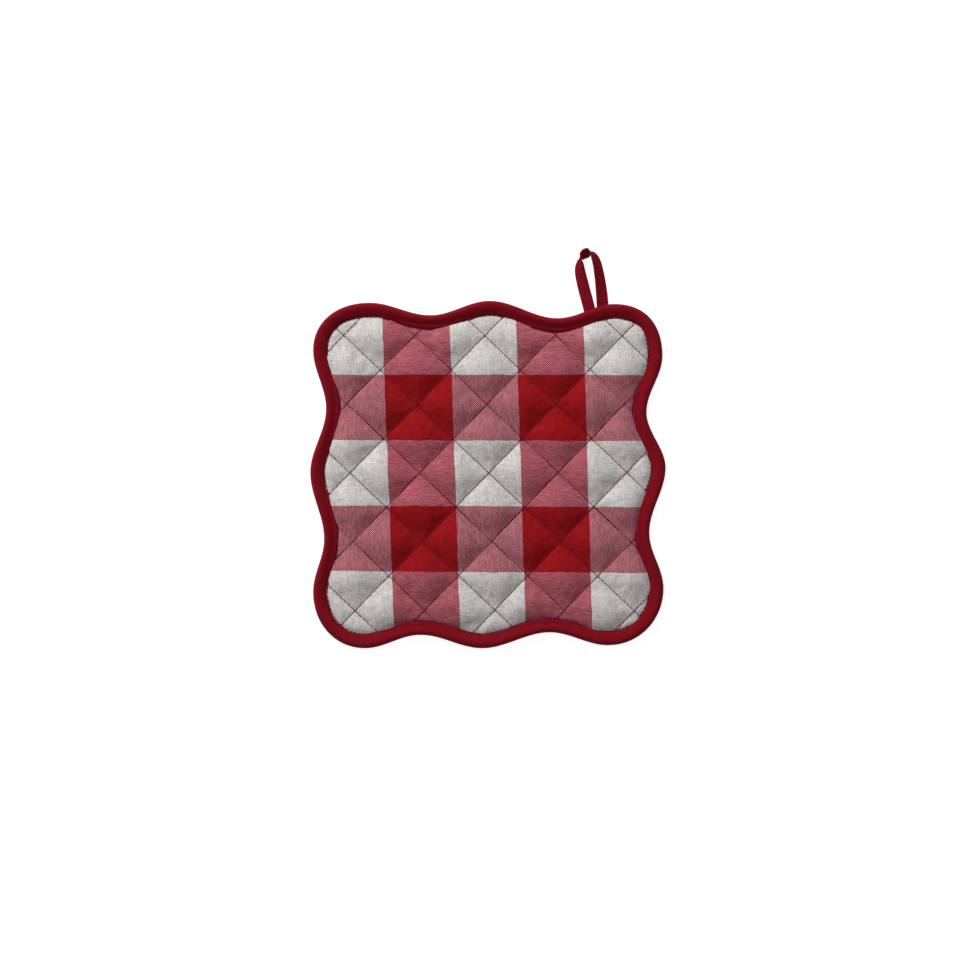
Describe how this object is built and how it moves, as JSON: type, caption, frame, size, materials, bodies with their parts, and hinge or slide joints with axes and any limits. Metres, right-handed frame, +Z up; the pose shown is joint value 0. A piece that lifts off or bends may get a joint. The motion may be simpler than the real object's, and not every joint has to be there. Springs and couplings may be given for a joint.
{
  "type": "pot holder",
  "caption": "Square quilted cloth pot holder with a wavy bound edge, a woven check on its faces and a tape hanging loop at one corner",
  "frame": {"origin": "middle of the overall box in plan, on the surface it lies on", "axes": "+Z up out of the front face; +Y from the lower edge towards the hanging loop; +X to the right as seen from the front"},
  "size_m": [0.203, 0.2285, 0.0089],
  "materials": {
    "check_cloth": "plain-woven cotton in a large red and white check, quilted, matt",
    "binding_cloth": "fine plain-woven cotton bias tape, deep red, matt",
    "loop_tape": "folded and stitched cotton tape, deep red, matt"
  },
  "bodies": {
    "root": {"pad": "check_cloth", "binding": "binding_cloth", "hanging_loop": "loop_tape"}
  },
  "joints": []
}
